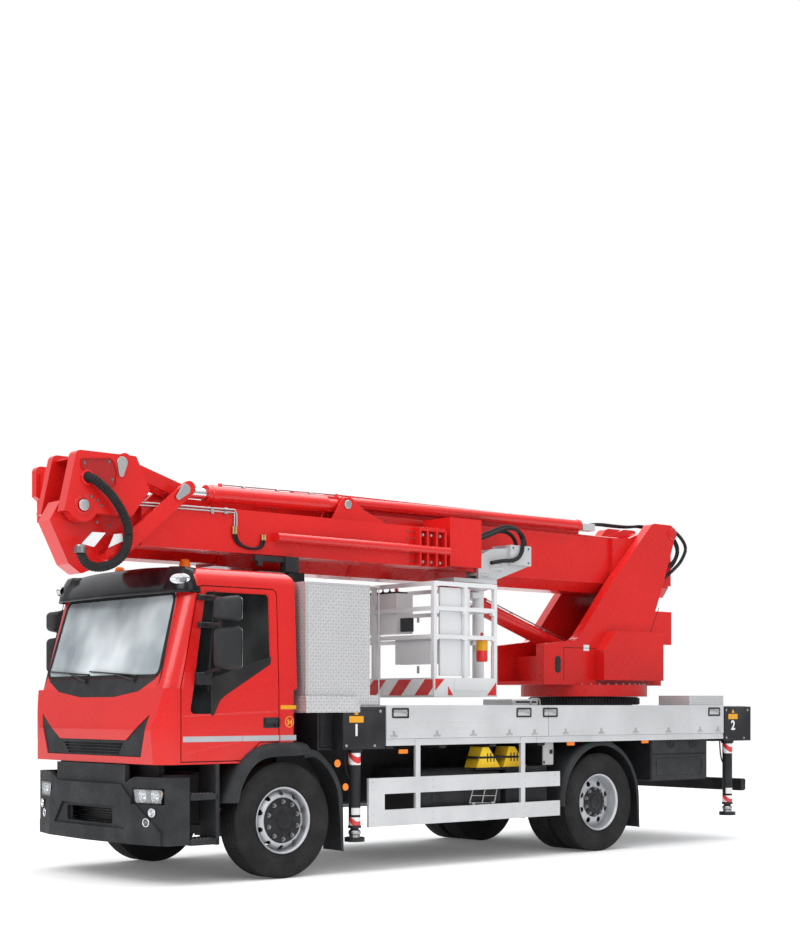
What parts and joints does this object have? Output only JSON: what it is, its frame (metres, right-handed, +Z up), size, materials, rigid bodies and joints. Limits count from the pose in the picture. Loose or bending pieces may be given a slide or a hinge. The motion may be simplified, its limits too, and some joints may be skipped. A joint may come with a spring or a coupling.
{
  "type": "cherry picker truck",
  "caption": "Truck-mounted aerial work platform with a telescopic boom, folding jib, rotating basket, outriggers and drop-side deck.",
  "frame": {"origin": "on the ground, under the middle of the bounding box", "axes": "+X forwards along the truck, +Y to its left, +Z up"},
  "size_m": [8.76, 3.16, 3.7325],
  "materials": {
    "red_paint": "gloss",
    "dark_plastic": "textured",
    "visor_plastic": "gloss",
    "glass": "clear",
    "lamp_glass": "clear",
    "tyre_rubber": "matte",
    "rim_silver": "satin",
    "chassis_black": "satin",
    "aluminium": "satin",
    "chequer_plate": "bright chequer plate",
    "chock_yellow": "matte",
    "rod_chrome": "polished",
    "cylinder_black": "satin",
    "rotator_grey": "satin"
  },
  "bodies": {
    "truck": {"chassis_frame": "chassis_black", "front_axle": "chassis_black", "rear_axle": "chassis_black", "engine_block": "chassis_black", "cab_shell": "red_paint", "windscreen": "glass", "cab_interior": "dark_plastic", "roof_visor": "visor_plastic", "front_panel": "red_paint", "front_trim": "dark_plastic", "front_bumper": "dark_plastic", "lamps": "lamp_glass", "mudguards": "dark_plastic", "side_boxes": "chassis_black", "wheel_chocks": "chock_yellow", "side_guards": "aluminium", "platform_subframe": "chassis_black", "deck": "aluminium", "locker": "chequer_plate"},
    "door_left": {"door_left": "red_paint", "door_glass_left": "glass", "mirror_left": "dark_plastic"},
    "door_right": {"door_right": "red_paint", "door_glass_right": "glass", "mirror_right": "dark_plastic"},
    "knuckle_left": {"knuckle_left": "chassis_black"},
    "knuckle_right": {"knuckle_right": "chassis_black"},
    "wheel_front_left": {"tyre_front_left": "tyre_rubber", "rim_front_left": "rim_silver"},
    "wheel_front_right": {"tyre_front_right": "tyre_rubber", "rim_front_right": "rim_silver"},
    "wheels_rear_left": {"tyre_rear_left": "tyre_rubber", "rim_rear_left": "rim_silver"},
    "wheels_rear_right": {"tyre_rear_right": "tyre_rubber", "rim_rear_right": "rim_silver"},
    "dropside_left": {"dropside_left": "aluminium"},
    "dropside_right": {"dropside_right": "aluminium"},
    "outrigger_front_left": {"outrigger_front_left": "chassis_black"},
    "jack_front_left": {"jack_front_left": "rod_chrome"},
    "outrigger_front_right": {"outrigger_front_right": "chassis_black"},
    "jack_front_right": {"jack_front_right": "rod_chrome"},
    "outrigger_rear_left": {"outrigger_rear_left": "chassis_black"},
    "jack_rear_left": {"jack_rear_left": "rod_chrome"},
    "outrigger_rear_right": {"outrigger_rear_right": "chassis_black"},
    "jack_rear_right": {"jack_rear_right": "rod_chrome"},
    "turret": {"turret": "red_paint"},
    "lift_barrel": {"lift_barrel": "cylinder_black"},
    "lift_rod": {"lift_rod": "rod_chrome"},
    "boom_base": {"boom_base": "red_paint"},
    "boom_middle": {"boom_middle": "red_paint"},
    "boom_head": {"boom_head": "red_paint"},
    "jib": {"jib": "red_paint"},
    "jib_lever": {"jib_lever": "red_paint"},
    "jib_link": {"jib_link": "red_paint"},
    "jib_barrel": {"jib_barrel": "cylinder_black"},
    "jib_rod": {"jib_rod": "rod_chrome"},
    "jib_extension": {"jib_extension": "red_paint"},
    "rotator": {"rotator": "rotator_grey"},
    "basket": {"basket": "aluminium"}
  },
  "joints": [
    {"name": "door_left_hinge", "type": "hinge", "parent": "truck", "child": "door_left", "pos_m": [3.42, 1.144, 1.6], "axis": [0, 0, -1], "range_deg": [0, 70]},
    {"name": "door_right_hinge", "type": "hinge", "parent": "truck", "child": "door_right", "pos_m": [3.42, -1.144, 1.6], "axis": [0, 0, 1], "range_deg": [0, 70]},
    {"name": "steering", "type": "hinge", "parent": "truck", "child": "knuckle_left", "pos_m": [2.36, 0.85, 0.522], "axis": [0, 0, 1], "range_deg": [-35, 35]},
    {"name": "steering_right", "type": "hinge", "parent": "truck", "child": "knuckle_right", "pos_m": [2.36, -0.85, 0.522], "axis": [0, 0, 1], "range_deg": [-35, 35]},
    {"name": "wheel_front_left_spin", "type": "hinge", "parent": "knuckle_left", "child": "wheel_front_left", "pos_m": [2.36, 1.05, 0.522], "axis": [0, 1, 0], "continuous": true},
    {"name": "wheel_front_right_spin", "type": "hinge", "parent": "knuckle_right", "child": "wheel_front_right", "pos_m": [2.36, -1.05, 0.522], "axis": [0, 1, 0], "continuous": true},
    {"name": "wheels_rear_left_spin", "type": "hinge", "parent": "truck", "child": "wheels_rear_left", "pos_m": [-1.825, 0.9, 0.522], "axis": [0, 1, 0], "continuous": true},
    {"name": "wheels_rear_right_spin", "type": "hinge", "parent": "truck", "child": "wheels_rear_right", "pos_m": [-1.825, -0.9, 0.522], "axis": [0, 1, 0], "continuous": true},
    {"name": "dropside_left_hinge", "type": "hinge", "parent": "truck", "child": "dropside_left", "pos_m": [-1.34, 1.25, 1.238], "axis": [-1, 0, 0], "range_deg": [0, 170]},
    {"name": "dropside_right_hinge", "type": "hinge", "parent": "truck", "child": "dropside_right", "pos_m": [-1.34, -1.25, 1.238], "axis": [1, 0, 0], "range_deg": [0, 170]},
    {"name": "outrigger_front_left_slide", "type": "slide", "parent": "truck", "child": "outrigger_front_left", "axis": [0, 1, 0], "range_m": [0, 1]},
    {"name": "jack_front_left_slide", "type": "slide", "parent": "outrigger_front_left", "child": "jack_front_left", "axis": [0, 0, -1], "range_m": [0, 0.45]},
    {"name": "outrigger_front_right_slide", "type": "slide", "parent": "truck", "child": "outrigger_front_right", "axis": [0, -1, 0], "range_m": [0, 1]},
    {"name": "jack_front_right_slide", "type": "slide", "parent": "outrigger_front_right", "child": "jack_front_right", "axis": [0, 0, -1], "range_m": [0, 0.45]},
    {"name": "outrigger_rear_left_slide", "type": "slide", "parent": "truck", "child": "outrigger_rear_left", "axis": [0, 1, 0], "range_m": [0, 1]},
    {"name": "jack_rear_left_slide", "type": "slide", "parent": "outrigger_rear_left", "child": "jack_rear_left", "axis": [0, 0, -1], "range_m": [0, 0.45]},
    {"name": "outrigger_rear_right_slide", "type": "slide", "parent": "truck", "child": "outrigger_rear_right", "axis": [0, -1, 0], "range_m": [0, 1]},
    {"name": "jack_rear_right_slide", "type": "slide", "parent": "outrigger_rear_right", "child": "jack_rear_right", "axis": [0, 0, -1], "range_m": [0, 0.45]},
    {"name": "slew", "type": "hinge", "parent": "truck", "child": "turret", "pos_m": [-2.87, 0, 1.6], "axis": [0, 0, 1], "range_deg": [-180, 180]},
    {"name": "boom_lift", "type": "hinge", "parent": "turret", "child": "boom_base", "pos_m": [-3.95, 0, 3.59], "axis": [0, -1, 0], "range_deg": [0, 80]},
    {"name": "lift_barrel_turn", "type": "hinge", "parent": "turret", "child": "lift_barrel", "pos_m": [-3.24, 0, 1.96], "axis": [0, -1, 0], "range_deg": [0, 63.53]},
    {"name": "lift_rod_slide", "type": "slide", "parent": "lift_barrel", "child": "lift_rod", "axis": [0.9493, 0, 0.3144], "range_m": [0, 2.06706]},
    {"name": "boom_middle_slide", "type": "slide", "parent": "boom_base", "child": "boom_middle", "axis": [1, 0, 0], "range_m": [0, 2.001]},
    {"name": "boom_head_slide", "type": "slide", "parent": "boom_middle", "child": "boom_head", "axis": [1, 0, 0], "range_m": [0, 2.001]},
    {"name": "jib_swing", "type": "hinge", "parent": "boom_head", "child": "jib", "pos_m": [4.14, 0.5025, 3.25], "axis": [0, -1, 0], "range_deg": [0, 24.02]},
    {"name": "jib_lever_turn", "type": "hinge", "parent": "jib", "child": "jib_lever", "pos_m": [3.87, 0.505, 2.83], "axis": [0, -1, 0], "range_deg": [-14.99, 0]},
    {"name": "jib_link_turn", "type": "hinge", "parent": "jib_lever", "child": "jib_link", "pos_m": [3.1, 0.505, 3.48], "axis": [0, -1, 0], "range_deg": [0, 10.81]},
    {"name": "jib_barrel_turn", "type": "hinge", "parent": "jib", "child": "jib_barrel", "pos_m": [1.15, 0.505, 3.51], "axis": [0, -1, 0], "range_deg": [0, 4.82]},
    {"name": "jib_rod_slide", "type": "slide", "parent": "jib_barrel", "child": "jib_rod", "axis": [0.9999, 0, -0.0154], "range_m": [0, 0.1999]},
    {"name": "jib_extension_slide", "type": "slide", "parent": "jib", "child": "jib_extension", "axis": [-1, 0, 0], "range_m": [0, 2.001]},
    {"name": "basket_level", "type": "hinge", "parent": "jib_extension", "child": "rotator", "pos_m": [-0.65, 0.55, 3.01], "axis": [0, -1, 0], "range_deg": [-104.02, 0]},
    {"name": "basket_rotate", "type": "hinge", "parent": "rotator", "child": "basket", "pos_m": [-0.65, 0.55, 2.5], "axis": [0, 0, 1], "range_deg": [0, 180]}
  ],
  "couplings": [
    {"joint": "steering_right", "follows": "steering", "ratio": 1},
    {"joint": "lift_barrel_turn", "follows": "boom_lift", "ratio": 0.79387},
    {"joint": "lift_rod_slide", "follows": "boom_lift", "m_per_rad": 1.4797},
    {"joint": "boom_middle_slide", "follows": "boom_lift", "m_per_rad": 1.4324},
    {"joint": "boom_head_slide", "follows": "boom_lift", "m_per_rad": 1.4324},
    {"joint": "jib_swing", "follows": "boom_lift", "ratio": 0.3},
    {"joint": "jib_lever_turn", "follows": "boom_lift", "ratio": -0.18718},
    {"joint": "jib_link_turn", "follows": "boom_lift", "ratio": 0.13492},
    {"joint": "jib_barrel_turn", "follows": "boom_lift", "ratio": 0.060005},
    {"joint": "jib_rod_slide", "follows": "boom_lift", "m_per_rad": 0.14245},
    {"joint": "jib_extension_slide", "follows": "boom_lift", "m_per_rad": 1.4324},
    {"joint": "basket_level", "follows": "boom_lift", "ratio": -1.3}
  ]
}
